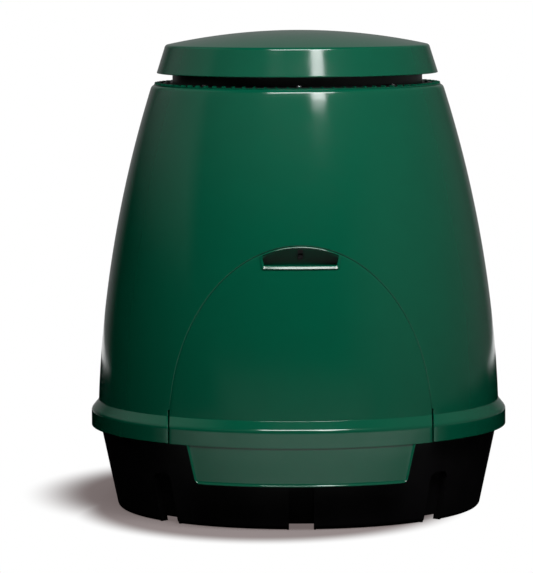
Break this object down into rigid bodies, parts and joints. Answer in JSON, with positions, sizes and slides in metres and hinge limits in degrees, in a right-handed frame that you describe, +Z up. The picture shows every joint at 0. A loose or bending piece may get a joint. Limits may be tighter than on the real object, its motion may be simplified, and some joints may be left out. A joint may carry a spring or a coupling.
{
  "type": "garden compost bin",
  "caption": "Round bell-shaped garden compost bin on a black base tub, with a domed lift-off lid on a vented neck and an arched front door with a grip pocket.",
  "frame": {"origin": "centre of the ring that the bin stands on, on the ground", "axes": "+Z up, -Y out of the door, +X on the right of someone facing the door"},
  "size_m": [0.8, 0.8, 0.916],
  "materials": {
    "green_plastic": "smooth, moulded, dark green, glossy",
    "black_plastic": "smooth, moulded, black, satin",
    "steel": "zinc-plated"
  },
  "bodies": {
    "root": {"base_tub": "black_plastic", "floor_grate": "black_plastic", "aeration_cone": "black_plastic", "cone_cap": "black_plastic", "hinge_bracket_left": "black_plastic", "hinge_bracket_right": "black_plastic", "hinge_pin_left": "steel", "hinge_pin_right": "steel", "bracket_screws": "steel", "body_shell": "green_plastic", "body_screws": "steel", "bolt_keeper": "black_plastic", "keeper_screws": "steel", "air_comb": "green_plastic", "neck_collar": "black_plastic", "collar_screws": "steel"},
    "shutter": {"vent_shutter": "black_plastic"},
    "lid": {"lid_shell": "green_plastic", "lid_seat_ring": "black_plastic", "lid_screws": "steel"},
    "door": {"door_panel": "green_plastic", "grip_cup": "green_plastic"},
    "bolt": {"door_bolt": "black_plastic"}
  },
  "joints": [
    {"name": "vent_turn", "type": "hinge", "parent": "root", "child": "shutter", "pos_m": [0, 0, 0.84], "axis": [0, 0, 1], "range_deg": [0, 9]},
    {"name": "lid_lift", "type": "slide", "parent": "shutter", "child": "lid", "axis": [0, 0, 1], "range_m": [0, 0.12]},
    {"name": "door_hinge", "type": "hinge", "parent": "root", "child": "door", "pos_m": [0, -0.36914, 0.098], "axis": [1, 0, 0], "range_deg": [0, 70]},
    {"name": "bolt_slide", "type": "slide", "parent": "door", "child": "bolt", "axis": [0, 0, 1], "range_m": [0, 0.01]}
  ]
}
